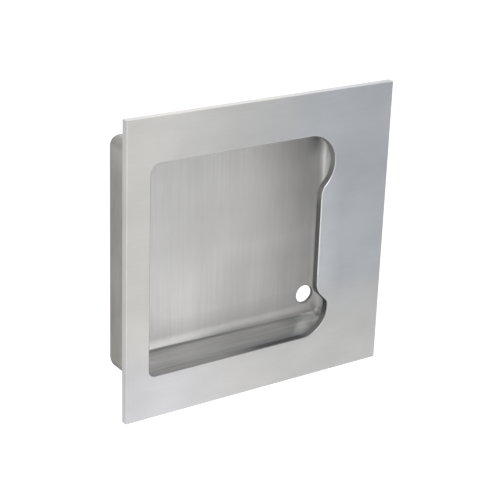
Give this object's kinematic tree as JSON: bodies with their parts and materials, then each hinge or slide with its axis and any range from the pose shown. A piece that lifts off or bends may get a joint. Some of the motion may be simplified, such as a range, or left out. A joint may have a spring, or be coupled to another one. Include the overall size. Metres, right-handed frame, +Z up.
{
  "type": "recessed pull handle",
  "caption": "Square flush pull for a sliding door: a flat plate with a shaped opening and a flat finger tab, over a shallow drawn pan with a fixing hole.",
  "frame": {"origin": "centre of the square plate, on the plane of its back, which seats on the door", "axes": "+Y goes into the door, from the plate towards the back of the pan; +Z is up; +X is to the right seen from the front, towards the finger tab"},
  "size_m": [0.127, 0.0298, 0.127],
  "materials": {
    "brushed_plate": "satin, brushed in fine horizontal lines",
    "drawn_pan": "satin, brushed in fine vertical lines inside, dull outside"
  },
  "bodies": {
    "root": {"face_plate": "brushed_plate", "recess_pan": "drawn_pan"}
  },
  "joints": []
}
